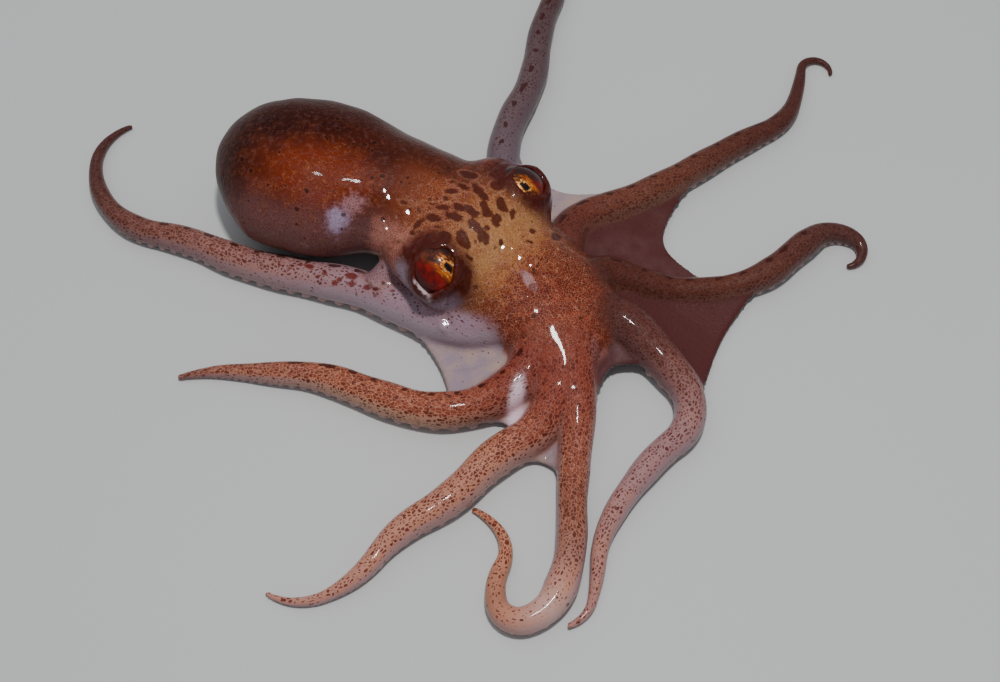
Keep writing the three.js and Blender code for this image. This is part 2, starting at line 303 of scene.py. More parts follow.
def alongside(course, x, y, front=0.0, rear=0.0):
    """Where floor points lie beside a course whose ends are cut back: its nearest point's
    distance along, the distance aside (positive to the right), and how far past an end."""
    points, tangents, distances = (part.astype(np.float32) for part in course)
    x, y = np.broadcast_arrays(x, y)
    flat = np.stack([x.ravel(), y.ravel()], 1).astype(np.float32)
    nearest = np.empty(len(flat), np.int64)
    for first in range(0, len(flat), 40000):
        part = flat[first:first + 40000]
        square = ((part**2).sum(1)[:, None] - 2 * part @ points.T) + (points**2).sum(1)
        nearest[first:first + 40000] = square.argmin(1)
    away = flat - points[nearest]
    tangent = tangents[nearest]
    raw = distances[nearest] + (away * tangent).sum(1)
    along = np.clip(raw, front, distances[-1] - rear)
    aside = away[:, 0] * tangent[:, 1] - away[:, 1] * tangent[:, 0]
    return along.reshape(x.shape), aside.reshape(x.shape), (raw - along).reshape(x.shape)


def ring_root(bearing):
    """Where an arm leaves the ring round the mouth."""
    turn = math.radians(bearing)
    return np.array(RING_CENTRE) + RING_RADIUS * np.array([math.cos(turn), math.sin(turn)])


def smoothstep(value, low, high):
    t = np.clip((value - low) / (high - low), 0, 1)
    return t * t * (3 - 2 * t)


trunk_course = walk(TRUNK_START, TRUNK_LENGTH, TRUNK_HEADINGS)
arm_courses = {
    name: walk(ring_root(bearing), length, headings)
    for name, (bearing, length, headings, _) in ARMS.items()
}


def arm_radius(name, along):
    return evenly(ARMS[name][3], along / ARMS[name][1]) / 2


def arm_height(name, along):
    """The centre's height: from the root's down to a settled arm's."""
    settled = smoothstep(along, 0, SETTLE)
    return (1 - settled) * ROOT_HEIGHT + settled * SQUAT * arm_radius(name, along)


def beside_trunk(distance, offset, height, side):
    """A point beside the trunk: side is 1 for the animal's right and -1 for its left. The
    trunk is walked from front to back, so the right side lies to the left of the walk."""
    points, _, distances = trunk_course
    x = np.interp(distance, distances, points[:, 0])
    y = np.interp(distance, distances, points[:, 1])
    turn = np.radians(evenly(TRUNK_HEADINGS, distance / TRUNK_LENGTH))
    return np.array([x - side * offset * np.sin(turn), y + side * offset * np.cos(turn), height])


# The courses' own origin is set against the frame by the right eye's ball.
low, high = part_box("eye_right")
SHIFT = np.array((low + high) / 2) / MM - beside_trunk(EYE_AT, EYE_OFFSET, EYE_HEIGHT, 1)

# ---------------------------------------------------------------- the skin's form
# One soft skin covers trunk, arms, web and funnel without a seam. It is the level surface of a
# distance worked out on a fine grid of points: each part gives its own distance, and the parts
# run into one another where they meet, widely round the mouth and hardly at all further out.

GRID_STEP = 0.375
LONGEST_STEP = 0.25
SOLE = 0.68  # how far an arm's flat underside lies below its centre, in radii
SLACK = 0.12  # how far the flesh draws in from the courses' radii
ARM_END = 0.5  # how far an arm's rounded end starts before its course does
MOUTH_ROOF = 2.2  # height of the hollow between the arms' roots
FAR = 9.0  # the distance given to what a part can't reach
WEB_SAG, WEB_HEM, WEB_THICKNESS = 1.4, 0.55, 0.8
# how far each web reaches along its two arms, and how deeply its free edge is scooped out
WEB_REACH = {
    "R4_R3": (18, 17, 0.12), "R3_R2": (16, 16, 0.15), "R2_R1": (20, 20, 0.12),
    "R1_L1": (16, 12, 0.45), "L1_L2": (21, 27, 0.12), "L2_L3": (19, 32, 0.27),
    "L3_L4": (24, 25, 0.22), "L4_R4": (21, 15, 0.15),
}
NECK_AT = 29.5
FUNNEL_AT, FUNNEL_OFFSET, FUNNEL_HEIGHT, FUNNEL_LENGTH = 29.0, 7.2, 5.0, 5.6
FUNNEL_ROOT, FUNNEL_LIP, FUNNEL_BORE = 2.6, 1.9, 1.0
FUNNEL_BEARING, FUNNEL_DROP = math.radians(220), math.radians(14)
DOME_RADIUS, DOME_OFFSET, DOME_HEIGHT = 4.7, 7.8, 10.2
DOME_TAIL = 4.0  # how far the swelling behind an eye runs towards the mantle
BALL_RADIUS = 4.2
# how far outwards and ahead of straight up each eye looks and its lids open, and half the
# length and the width of the lids' opening over the ball's radius
GAZES = {1: (0.2, 0.66), -1: (-0.05, 0.38)}
LIDS = {1: (0.66, 0.36, 0.6, 0.7), -1: (0.38, 0.34, 0.56, 0.58)}


def soft_min(a, b, reach):
    """The smaller of two distances, rounded off where they differ by less than the reach:
    b + (a - b) t - reach t (1 - t), where t runs from 0 to 1 across the reach."""
    share = np.clip(0.5 + 0.5 * (b - a) / reach, 0, 1)
    return b + (a - b) * share - reach * share * (1 - share)


def soft_max(a, b, reach):
    return -soft_min(-a, -b, reach)


def bump(value, centre, width):
    return np.exp(-((value - centre) / width)**2)


def dot(offset, way):
    return offset[0] * way[0] + offset[1] * way[1] + offset[2] * way[2]


def size_of(x, y, z):
    return np.sqrt(x * x + y * y + z * z)


def arm_distance(name, place, z):
    """Distance to an arm: to a round limb whose radius and height change along it, cut off
    flat underneath."""
    along, aside, over = place
    swell = 1 + 0.025 * np.sin(along * 0.8 + ARMS[name][0])
    radius = (arm_radius(name, along) - SLACK) * swell
    height = arm_height(name, along)
    limb = np.hypot(np.hypot(aside, over), z - height) - radius
    return soft_max(limb, height - SOLE * radius - z, 0.35 * radius)


def trunk_distance(place, z):
    """Distance to the trunk: k (k - 1) / |grad k|, where k is 1 on an oval section that
    closes in a rounded cap at each end. The mantle's edge overlaps the neck below and at
    the sides, where it is open, and the trunk's front end is hollow round the mouth."""
    along, aside, over = place
    raw = along + over
    sections = smooth_columns(TRUNK_SECTIONS, raw)
    half_width, half_height, height = sections[..., 1], sections[..., 2], sections[..., 3]
    end = np.where(over < 0, FRONT_ROUND, REAR_ROUND)
    across, lift, beyond = aside / half_width, (z - height) / half_height, over / end
    k = np.sqrt(across**2 + lift**2 + beyond**2) + 1e-6
    slope = np.sqrt((across / half_width)**2 + (lift / half_height)**2 + (beyond / end)**2) + 1e-6
    body = k * (k - 1) / slope + SLACK
    below = smoothstep(height + 3.5 - z, 0, 4)
    behind = smoothstep(raw, NECK_AT - 0.35, NECK_AT + 0.35)
    flap = behind * 0.45 * np.exp(-np.abs(raw - NECK_AT) / 5)
    neck = (1 - behind) * 0.8 * np.exp(-np.abs(raw - NECK_AT) / 3.5)
    body = body - below * (flap - neck)
    hollow = MOUTH_ROOF * (1 - smoothstep(raw, 9, 15)) - z
    return soft_max(body, hollow, 1.2)


def web_sheet(pair, u, v):
    """A web's middle surface: at u outwards and v across it lies between the points that far
    along its two arms, with a scooped free edge and a sag in the middle."""
    reach_one, reach_other, scoop = WEB_REACH[pair]
    middle = np.sin(np.pi * v)
    k = u * (1 - scoop * middle)
    ends = []
    for name, reach in zip(pair.split("_"), (reach_one, reach_other)):
        points, _, distances = arm_courses[name]
        at = k * reach
        ends.append((np.interp(at, distances, points[:, 0]),
                     np.interp(at, distances, points[:, 1]), arm_height(name, at)))
    x, y, height = ((1 - v) * a + v * b for a, b in zip(*ends))
    return x, y, np.maximum(height - WEB_SAG * middle * k, WEB_HEM)


def web_place(pair, x, y):
    """Where floor points lie in a web, from the nearest point of a coarse net of its sheet
    and three Newton steps, kept where they come nearer: the sheet's height there, and how far
    outside it they are."""
    net_u, net_v = (part.ravel() for part in np.meshgrid(np.linspace(0, 1, 32), np.linspace(0, 1, 18)))
    net_x, net_y, _ = web_sheet(pair, net_u, net_v)
    height, away = np.zeros(x.shape), np.full(x.shape, FAR)
    near = (x > net_x.min() - 3) & (x < net_x.max() + 3) & (y > net_y.min() - 3) & (y < net_y.max() + 3)
    fx, fy = x[near], y[near]
    nearest = ((fx[:, None] - net_x)**2 + (fy[:, None] - net_y)**2).argmin(1)
    net_away = np.hypot(fx - net_x[nearest], fy - net_y[nearest])
    fu, fv, tiny = net_u[nearest], net_v[nearest], 1e-3
    for _ in range(3):
        px, py, _ = web_sheet(pair, fu, fv)
        ux, uy, _ = web_sheet(pair, fu + tiny, fv)
        vx, vy, _ = web_sheet(pair, fu, fv + tiny)
        a, b, c, d = (ux - px) / tiny, (vx - px) / tiny, (uy - py) / tiny, (vy - py) / tiny
        area = a * d - b * c
        area = np.copysign(np.maximum(np.abs(area), 1.0), area)
        off_x, off_y = fx - px, fy - py
        fu = np.clip(fu + (d * off_x - b * off_y) / area, 0.0, 1.0)
        fv = np.clip(fv + (a * off_y - c * off_x) / area, 0.0, 1.0)
    px, py, _ = web_sheet(pair, fu, fv)
    lost = np.hypot(fx - px, fy - py) > net_away
    fu, fv = np.where(lost, net_u[nearest], fu), np.where(lost, net_v[nearest], fv)
    px, py, height[near] = web_sheet(pair, fu, fv)
    away[near] = np.hypot(fx - px, fy - py)
    return height, away


def eye_axes(side, outwards, forwards):
    """Unit directions of an eye or its lids: out along the way that it faces, forward along
    its slit, and away from the head."""
    turn = math.radians(evenly(TRUNK_HEADINGS, EYE_AT / TRUNK_LENGTH))
    ahead = np.array([-math.cos(turn), -math.sin(turn), 0])
    outward = side * np.array([-math.sin(turn), math.cos(turn), 0])
    facing = outwards * outward + forwards * ahead + 0.9 * np.array([0, 0, 1])
    facing /= np.linalg.norm(facing)
    slit = ahead - facing * (ahead @ facing)
    slit /= np.linalg.norm(slit)
    return facing, slit, np.cross(slit, facing) * side


def lid_place(side, x, y, z):
    """Where points lie round an eye: distance from the ball's centre, a measure that is 1 on
    the edge of the lids' oval opening and grows outwards, and how far they lie to the eye's
    outer side (-1 to 1)."""
    centre = beside_trunk(EYE_AT, EYE_OFFSET, EYE_HEIGHT, side)
    outwards, forwards, half_long, half_wide = LIDS[side]
    middle, slit, outward = eye_axes(side, outwards, forwards)
    offset = x - centre[0], y - centre[1], z - centre[2]
    reach = size_of(*offset) + 1e-6
    ahead, aside, facing = (dot(offset, way) / reach for way in (slit, outward, middle))
    spread = np.sqrt((ahead / half_long)**2 + (aside / half_wide)**2)
    turned = aside / (np.hypot(aside, ahead) + 1e-6)
    return reach, np.where(facing > 0, spread, 2.0 / half_long - spread), turned


def dome_distance(side, x, y, z):
    """Distance to the swelling that an eye sits in: a ball drawn out towards the mantle."""
    dome = beside_trunk(EYE_AT, DOME_OFFSET, DOME_HEIGHT, side)
    ahead = eye_axes(side, 0, 0)[1]
    qx, qy, qz = x - dome[0], y - dome[1], z - dome[2]
    back = np.clip(-(qx * ahead[0] + qy * ahead[1]), 0, DOME_TAIL)
    tail = size_of(qx + back * ahead[0], qy + back * ahead[1], qz + 0.22 * back)
    return tail - DOME_RADIUS * (1 - 0.2 * back / DOME_TAIL)


def funnel_distance(x, y, z):
    """Distance to the funnel: a cone with a round root, a square tip and a bore."""
    root = beside_trunk(FUNNEL_AT, FUNNEL_OFFSET, FUNNEL_HEIGHT, 1)
    axis = np.array([math.cos(FUNNEL_BEARING) * math.cos(FUNNEL_DROP),
                     math.sin(FUNNEL_BEARING) * math.cos(FUNNEL_DROP), -math.sin(FUNNEL_DROP)])
    offset = x - root[0], y - root[1], z - root[2]
    along = dot(offset, axis)
    at = np.clip(along, 0, FUNNEL_LENGTH)
    aside = size_of(*(part - at * way for part, way in zip(offset, axis)))
    share = at / FUNNEL_LENGTH
    wall = aside - (FUNNEL_ROOT + (FUNNEL_LIP - FUNNEL_ROOT) * share + 0.25 * share**6)
    tube = soft_max(wall, along - FUNNEL_LENGTH, 0.5)
    bore = FUNNEL_BORE * (0.8 + 0.35 * share**6) - aside - 3 * np.maximum(3 - along, 0)
    return soft_max(tube, bore, 0.3)


def lids(skin, x, y, z):
    """Cuts the lids' opening over each ball and raises the soft folds round it: a full lower
    lid on the outer side, a thinner one above it, and a crease behind both."""
    for side in (1, -1):
        reach, spread, outer = lid_place(side, x, y, z)
        over_ball = bump(reach, BALL_RADIUS + 0.5, 1.7)
        low = 0.5 + 0.5 * outer
        ragged = 0.06 * np.sin(2.1 * x + 1.3 * z) * np.sin(1.7 * y - 0.9 * z)
        fold = (0.03 + 0.2 * low) * bump(spread, 1.14 + ragged, 0.16)
        crease = 0.1 * bump(spread, 1.42 + 2 * ragged, 0.13)
        second = (0.02 + 0.16 * low) * bump(spread, 1.68 - ragged, 0.2)
        skin = skin - over_ball * (fold - crease + second)
        opening = (spread - 1 + ragged) * LIDS[side][2] * BALL_RADIUS
        skin = soft_max(skin, -np.maximum(opening, BALL_RADIUS - 0.35 - reach), 0.25)
    return skin


def skin_distance(x, y, z):
    """Distance to the whole skin: the parts' distances joined by soft_min. The reach of each
    join falls from a few millimetres at the mouth to almost nothing where arms lie apart."""
    x, y = np.broadcast_arrays(x, y)
    from_mouth = np.hypot(x - RING_CENTRE[0], y - RING_CENTRE[1])
    join = 2.2 - 2.05 * smoothstep(from_mouth, 9, 17)
    arms = None
    for name, course in arm_courses.items():
        arm = arm_distance(name, alongside(course, x, y, 0, ARM_END), z)
        arms = arm if arms is None else soft_min(arms, arm, join)
    for pair in WEB_REACH:
        height, away = web_place(pair, x, y)
        arms = soft_min(arms, np.hypot(away, z - height) - WEB_THICKNESS / 2, 0.9)
    trunk = trunk_distance(alongside(trunk_course, x, y, FRONT_ROUND, REAR_ROUND), z)
    for side in (1, -1):
        trunk = soft_min(trunk, dome_distance(side, x, y, z), 2.5)
    trunk = soft_min(trunk, funnel_distance(x, y, z), 1.2)
    trunk = trunk + 0.05 * np.sin(0.9 * x + 0.5 * y) * np.sin(0.83 * y - 0.37 * x + 0.6 * z)
    skin = soft_min(trunk, arms, 2.6 - 2.2 * smoothstep(from_mouth, 15, 26))
    return soft_max(lids(skin, x, y, z), 0.01 - z, 0.25)


def skin_mesh():
    """The level surface of skin_distance, meshed on the grid: points in mm and four-sided
    faces."""
    low, high = (np.array(corner) / MM - SHIFT for corner in cad_box)
    axes = [np.arange(a - 1.5, b + 1.5, GRID_STEP) for a, b in zip(low, high)]
    field = skin_distance(axes[0][:, None, None], axes[1][None, :, None], axes[2][None, None, :])
    grid = openvdb.FloatGrid(5.0)
    grid.copyFromArray(np.clip(field / GRID_STEP, -3, 3).astype(np.float32))
    points, _, faces = grid.convertToPolygons(isovalue=0.0, adaptivity=0.0)
    return points * GRID_STEP + np.array([axis[0] for axis in axes]), faces


def settle(points):
    """Brings points onto the skin's surface with two Newton steps along its slope, which are
    distance x slope / |slope|^2 and never longer than LONGEST_STEP."""
    tiny = 0.02
    for _ in range(2):
        x, y, z = points.T
        here = skin_distance(x, y, z)
        moved = (x + tiny, y, z), (x, y + tiny, z), (x, y, z + tiny)
        slope = np.stack([skin_distance(*place) - here for place in moved], 1) / tiny
        step = slope * (here / np.maximum((slope**2).sum(1), 0.2))[:, None]
        long = np.linalg.norm(step, axis=1)[:, None] + 1e-9
        points = points - step * np.minimum(1, LONGEST_STEP / long)
    return points


def new_piece(name, points, faces):
    """A smooth mesh piece whose place is in its vertices: points in mm beside the courses."""
    mesh = bpy.data.meshes.new(name)
    mesh.from_pydata((points + SHIFT) * MM, [], faces)
    mesh.shade_smooth()
    mesh.update()
    piece = bpy.data.objects.new(name, mesh)
    bpy.context.scene.collection.objects.link(piece)
    return piece


# papillae, the skin's small soft bumps: place and half-width. Each has a gently rounded
# top, tilted so that it catches the bright lamp as wet skin does
PAPILLAE = [
    (-15.3, 14.5, 0.4), (-14.8, 13.7, 0.55), (-13.7, 11.3, 0.35), (-12.25, 11.6, 0.6),
    (-15.4, 11.2, 0.35), (-15.0, 10.3, 0.4), (-4.3, 11.0, 0.35), (0.4, 6.2, 0.55),
    (1.6, 6.2, 0.3), (2.6, 5.3, 0.5), (4.0, 4.6, 0.4), (3.6, 0.7, 0.3),
    (1.9, -0.8, 0.3), (-6.2, 4.7, 0.3), (-7.3, -0.9, 0.9),
]
PAPILLA_TOP = 8.0  # the radius that their tops are rounded to
PAPILLA_FLOOR = 4.0  # they stand on the parts of the skin above this height
EYE_REACH = 5.3  # how far from an eye's centre the skin's faces are split


def finer_in_places(piece):
    """Splits the skin's faces round the eyes and papillae, whose shapes need closer points."""
    form = bmesh.new()
    form.from_mesh(piece.data)
    centres = [beside_trunk(EYE_AT, EYE_OFFSET, EYE_HEIGHT, side) for side in (1, -1)]
    near = []
    for edge in form.edges:
        middle = (edge.verts[0].co + edge.verts[1].co) / 2 / MM
        x, y, z = middle.x - SHIFT[0], middle.y - SHIFT[1], middle.z
        by_eye = any(math.dist((x, y, z), centre) < EYE_REACH for centre in centres)
        if by_eye or z > PAPILLA_FLOOR and any(
                math.hypot(x - px, y - py) < 1.6 * wide for px, py, wide in PAPILLAE):
            near.append(edge)
    bmesh.ops.subdivide_edges(form, edges=near, cuts=1, use_grid_fill=True)
    bmesh.ops.triangulate(form, faces=[face for face in form.faces if len(face.verts) > 4])
    form.to_mesh(piece.data)
    form.free()


def piece_points(piece):
    """A piece's points in mm beside the courses."""
    flat = np.empty(3 * len(piece.data.vertices), np.float32)
    piece.data.vertices.foreach_get("co", flat)
    return flat.reshape(-1, 3).astype(float) / MM - SHIFT


def raise_papillae(points):
    """Blends the points within each papilla into its top: the middle's height, less the
    slope that faces halfway between lamp and view, less distance^2 / twice its radius."""
    x, y, z = points.T
    height = z.copy()
    places = [np.array(place) / MM - SHIFT for place in (BRIGHT_PLACE, camera.location)]
    for px, py, wide in PAPILLAE:
        away = np.hypot(x - px, y - py) + FAR * (z < PAPILLA_FLOOR)
        middle = points[np.argmin(away)]
        facing = sum((place - middle) / np.linalg.norm(place - middle) for place in places)
        slope = ((x - px) * facing[0] + (y - py) * facing[1]) / facing[2]
        top = middle[2] - slope - away**2 / (2 * PAPILLA_TOP)
        height += smoothstep(away / wide, 1.4, 0.6) * (top - height)
    return np.stack([x, y, height], 1)


points, faces = skin_mesh()
skin = new_piece("skin", settle(points), faces.tolist())
finer_in_places(skin)
points = raise_papillae(settle(piece_points(skin)))
skin.data.vertices.foreach_set("co", ((points + SHIFT) * MM).ravel())
skin.data.update()

# ---------------------------------------------------------------- the skin's markings
# The skin is wet and full of small colour cells: wide open and red-brown over head and
# mantle, shrinking to dots along the arms. Marks hold where each point lies on the body.

# at equal steps along an arm: how open its cells are, how lilac its ground is, and how deep
# in painted shade it lies, darkest on the far arms (below 0 painted lighter, as a painted highlight)
ARM_TINTS = {
    "R4": ([0.4, 0.35, 0.45, 0.6, 0.7, 0.75, 0.75],
           [0.95, 0.95, 0.75, 0.5, 0.35, 0.3, 0.3],
           [0, 0, 0.1, 0.35, 0.6, 0.95, 1.0]),
    "R3": ([0.75, 0.8, 0.75, 0.7, 0.65, 0.6],
           [0.2, 0.1, 0.05, 0.1, 0.25, 0.3],
           [0.2, 0.1, 0.1, 0.1, 0.25, 0.5]),
    "R2": ([0.85, 0.8, 0.5, 0.4, 0.4, 0.4], [0.1, 0.15, 0.2, 0.25, 0.3, 0.3], [0.1, 0]),
    "R1": ([0.75, 0.8, 0.75, 0.75, 0.5, 0.1, 0.15, 0.45, 0.5],
           [0.3, 0.2, 0.2, 0.2, 0.3, 0.35, 0.1, 0, 0],
           [0.15, 0.1, 0.1, 0.35, 0.35, -0.4, 0.3, 0, 0]),
    "L1": ([0.85, 0.7, 0.5, 0.45, 0.4, 0.4],
           [0.2, 0.4, 0.6, 0.6, 0.4, 0.4],
           [1.0, 0.75, 0.25, 0.15, 0.1, 0.1]),
    "L2": ([0.95, 0.9, 0.9, 0.85, 0.85, 0.85],
           [0.1, 0.1, 0.1, 0.2, 0.3, 0.3],
           [1.0, 0.95, 0.9, 0.9, 0.95, 1.0]),
    "L3": ([0.8, 0.8, 0.8, 0.8, 0.85, 0.9],
           [0.15, 0.1, 0.1, 0.15, 0.2, 0.3],
           [0.7, 0.75, 0.8, 0.95, 1.0, 1.0]),
    "L4": ([0.3, 0.35, 0.45, 0.5, 0.6, 0.6],
           [1.0, 1.0, 0.8, 0.7, 0.5, 0.4],
           [0.6, 0.7, 0.85, 0.95, 1.0, 1.0]),
}
ARM_MARKS = ("arm", "flush", "lilac", "dusk", "along", "row", "aside", "side", "girth")
# where a row of dark dashes runs on an arm, across it in radii from the walk's right side
DASH_LINES = {"R3": 0.5, "R4": 0.45, "L3": -0.4, "L4": -0.1, "L2": -0.35}
WEB_PALENESS = {
    "R4_R3": 1.0, "R3_R2": 0.9, "R2_R1": 0.7, "R1_L1": 0.25,
    "L1_L2": 0.0, "L2_L3": 0.15, "L3_L4": 0.9, "L4_R4": 1.0,
}
# soft pale or pink patches seen from above, the last a painted highlight along the near eye's lower
# lid: an oval, and the heights between which it begins
PATCHES = {
    "patch": ((-21.6, 11.5, 2.3, 1.5, 20), 6, 9),
    "blush": ((-19.6, 13.0, 2.2, 1.4, 20), 6, 9),
    "streak": ((3.9, 2.5, 1.7, 0.75, 132), 6, 9),
    "glare": ((-10.1, 0.9, 1.7, 0.3, 140), 8.5, 9.5),
}
WEDGE = (2.1, -11.8, 3.4, 1.1, 78)  # the palest fold of web, between arms R3 and R2
# blotches seen from above: place, half-length, half-width, bearing of the length, strength
BLOTCHES = [
    (-4.1, 17.4, 1.1, 0.7, 160, 1), (-6.4, 15.8, 0.45, 0.3, 175, 0.8),
    (-4.8, 14.7, 0.9, 0.45, 140, 0.9), (-6.6, 14.1, 0.8, 0.45, 165, 1),
    (-7.0, 12.9, 0.5, 0.35, 170, 1), (-2.6, 13.7, 1.7, 0.6, 115, 1),
    (-2.0, 11.3, 1.4, 0.55, 100, 1), (-1.7, 10.4, 1.0, 0.5, 20, 1),
    (-3.7, 10.4, 1.4, 0.5, 135, 1), (-5.4, 11.3, 1.0, 0.5, 130, 1),
    (-0.3, 15.0, 1.0, 0.8, 160, 1), (0.2, 12.0, 1.2, 0.65, 115, 1),
    (-0.4, 9.7, 1.0, 0.6, 80, 1), (-0.8, 16.9, 0.8, 0.3, 125, 0.8),
    (-5.9, 9.8, 1.3, 0.55, 150, 1), (-8.8, 10.2, 1.0, 0.5, 150, 1),
    (-10.6, 9.8, 1.0, 0.5, 50, 1), (-7.4, 11.5, 0.8, 0.4, 175, 1),
    (-8.0, 8.7, 0.7, 0.3, 165, 0.6), (-3.3, 8.4, 1.2, 0.6, 145, 1),
    (-2.2, 7.1, 0.9, 0.7, 110, 1), (-7.1, 6.8, 1.2, 0.65, 105, 1),
    (-4.8, 6.4, 1.5, 0.8, 115, 1), (-1.6, 8.3, 0.5, 0.35, 120, 0.7),
    (1.7, 10.9, 0.9, 0.5, 85, 0.45), (4.3, 9.6, 0.7, 0.45, 30, 0.5),
    (3.9, 7.8, 0.7, 0.4, 20, 0.6), (7.5, 10.5, 1.0, 0.6, 70, 0.9),
    (-8.2, 5.2, 2.1, 0.6, 160, 1), (-9.4, 6.2, 0.8, 0.6, 115, 1),
    (-5.3, 3.1, 0.65, 0.5, 55, 0.9), (-4.4, 1.9, 1.2, 0.7, 70, 0.8),
    (1.4, 17.5, 1.1, 0.6, 135, 1), (-11.5, 8.4, 0.7, 0.4, 120, 0.6),
    (-3.9, 4.2, 0.6, 0.3, 165, 0.6), (0.1, 6.7, 0.6, 0.35, 95, 0.4),
    (-9.4, 12.4, 1.2, 0.3, 170, 0.35), (-12.4, 12.8, 0.7, 0.3, 170, 0.5),
    (-12.2, 5.6, 1.8, 0.5, 110, 0.5), (-20.0, 7.2, 0.9, 0.55, 170, 1),
    (-22.2, 6.4, 0.5, 0.35, 10, 0.9), (-20.0, 6.1, 0.6, 0.35, 165, 0.8),
    (-17.8, 5.4, 0.6, 0.4, 170, 0.8), (-16.6, 4.9, 0.45, 0.3, 160, 0.7),
    (-14.4, 4.5, 0.5, 0.3, 165, 0.7), (-15.7, 5.6, 0.5, 0.4, 145, 0.5),
    (-21.6, 6.8, 0.6, 0.35, 165, 0.6), (-24.6, 7.5, 0.7, 0.35, 175, 0.6),
    (-25.8, 9.0, 0.7, 0.45, 170, 0.9), (-23.7, 7.8, 0.5, 0.35, 155, 0.7),
    (-27.1, 9.4, 0.5, 0.35, 10, 0.6), (-28.4, 8.8, 0.45, 0.3, 15, 0.6),
    (-29.9, 9.4, 0.4, 0.35, 125, 0.6), (-22.9, 5.9, 0.4, 0.3, 175, 0.5),
]


def oval(x, y, middle_x, middle_y, long, wide, bearing):
    """How far out a point lies in an oval seen from above: 0 in its middle, 1 on its rim."""
    turn = math.radians(bearing)
    ahead = (x - middle_x) * math.cos(turn) + (y - middle_y) * math.sin(turn)
    beside = (y - middle_y) * math.cos(turn) - (x - middle_x) * math.sin(turn)
    return np.hypot(ahead / long, beside / wide)


def arm_marks(marks, x, y, z):
    """The nearest arm's share of the marks: distance to it, its tints, distance along and
    across, mm from its row of dashes, how far round to its sides (0 above, 1 below), girth."""
    for name, course in arm_courses.items():
        place = alongside(course, x, y, 0, ARM_END)
        away = arm_distance(name, place, z)
        along, aside, _ = place
        tints = (evenly(row, along / ARMS[name][1]) for row in ARM_TINTS[name])
        radius, height = arm_radius(name, along), arm_height(name, along)
        round_to = np.abs(aside) / radius - 0.35 * (z - height) / radius
        row = aside - DASH_LINES.get(name, FAR) * radius
        own = (away, *tints, along, row, aside, smoothstep(round_to, 0.1, 0.85), radius)
        nearer = away < marks["arm"]
        for mark, value in zip(ARM_MARKS, own):
            marks[mark] = np.where(nearer, value, marks.get(mark, 0.0))


def skin_marks(points):
    """Marks for every point of the skin, each a plain function of where it lies: on arm,
    web or trunk, how far along and round, and how deep inside a blotch."""
    x, y, z = points.T
    empty = np.zeros(len(x))
    marks = {"arm": empty + FAR, "row": empty + FAR}
    arm_marks(marks, x, y, z)
    limbs = marks.pop("arm")
    web, pale = empty + FAR, empty
    for pair, paleness in WEB_PALENESS.items():
        height, away = web_place(pair, x, y)
        sheet = np.hypot(away, z - height) - WEB_THICKNESS / 2
        pale = np.where(sheet < web, paleness, pale)
        web = np.minimum(web, sheet)
    place = alongside(trunk_course, x, y, FRONT_ROUND, REAR_ROUND)
    body = trunk_distance(place, z)
    for side in (1, -1):
        body = np.minimum(body, dome_distance(side, x, y, z))
    funnel = funnel_distance(x, y, z)
    raw = place[0] + place[2]
    sections = smooth_columns(TRUNK_SECTIONS, raw)
    across = -place[1] / sections[:, 1]
    limbs = np.minimum(limbs, web)
    trunk = smoothstep(limbs - np.minimum(body, funnel), -1.1, 1.1)
    sheet = smoothstep(web, 0.5, 0.0) * smoothstep(limbs - web, -0.3, 0.0)
    sheet *= smoothstep(np.abs(limbs - web), 0.4, 0.0) * (1 - trunk)
    wedge = np.exp(-oval(x, y, *WEDGE)**4)
    marks.update({
        "web": np.maximum(sheet, wedge * (z < 7) * (1 - trunk)),
        "wedge": wedge,
        "pale": np.maximum(pale, wedge),
        "root": smoothstep(marks["along"], 22, 6) * (1 - trunk),
        "fringe": pale * smoothstep(web, 1.5, 0.2) * (1 - trunk),
        "trunk": trunk,
        "funnel": smoothstep(body - funnel, -0.6, 0.8) * trunk * smoothstep(raw, 22, 26),
        "raw": raw / TRUNK_LENGTH,
        "across": across,
        "glow": np.exp(-((raw - 44) / 10)**2 - ((across - 0.45) / 0.48)**2),
        "bruise": np.exp(-(((raw - 51.5) / 3.2)**2 + ((across + 0.1) / 0.22)**2)),
        "crest": smoothstep(-across, 0.05, 0.35) * smoothstep(raw, 22.5, 27) * smoothstep(raw, 42, 36),
        "flank": smoothstep(np.abs(across), 0.5, 1.0),
        "throat": smoothstep(across, 0.6, 0.9) * smoothstep(raw, 24, 27) * smoothstep(raw, 37, 33),
    })
    for name, (shape, low, high) in PATCHES.items():
        marks[name] = np.exp(-oval(x, y, *shape)**2) * smoothstep(z, low, high)
    marks["socket"], marks["fold"], marks["papilla"], marks["blotch"] = empty, empty, empty, empty - 3
    for side in (1, -1):
        reach, spread, outer = lid_place(side, x, y, z)
        around = np.maximum(6.8 + 1.3 * outer, 5.6)
        marks["socket"] = np.maximum(marks["socket"], smoothstep(reach, around, 4.6))
        fold = bump(spread, 1.55, 0.22) * smoothstep(outer, 0.1, 0.7) * smoothstep(reach, 6.5, 5.0)
        marks["fold"] = np.maximum(marks["fold"], fold)
    for px, py, wide in PAPILLAE:
        top = smoothstep(np.hypot(x - px, y - py) / wide, 1.5, 1.0)
        top *= smoothstep(z - PAPILLA_FLOOR, 0, 1)
        marks["papilla"] = np.maximum(marks["papilla"], top)
    for *shape, strength in BLOTCHES:
        inside = shape[3] * (1 - oval(x, y, *shape)) - 0.25 * (1 - strength)
        marks["blotch"] = np.maximum(marks["blotch"], inside - 2 * smoothstep(4.2 - z, 0, 1))
    return marks


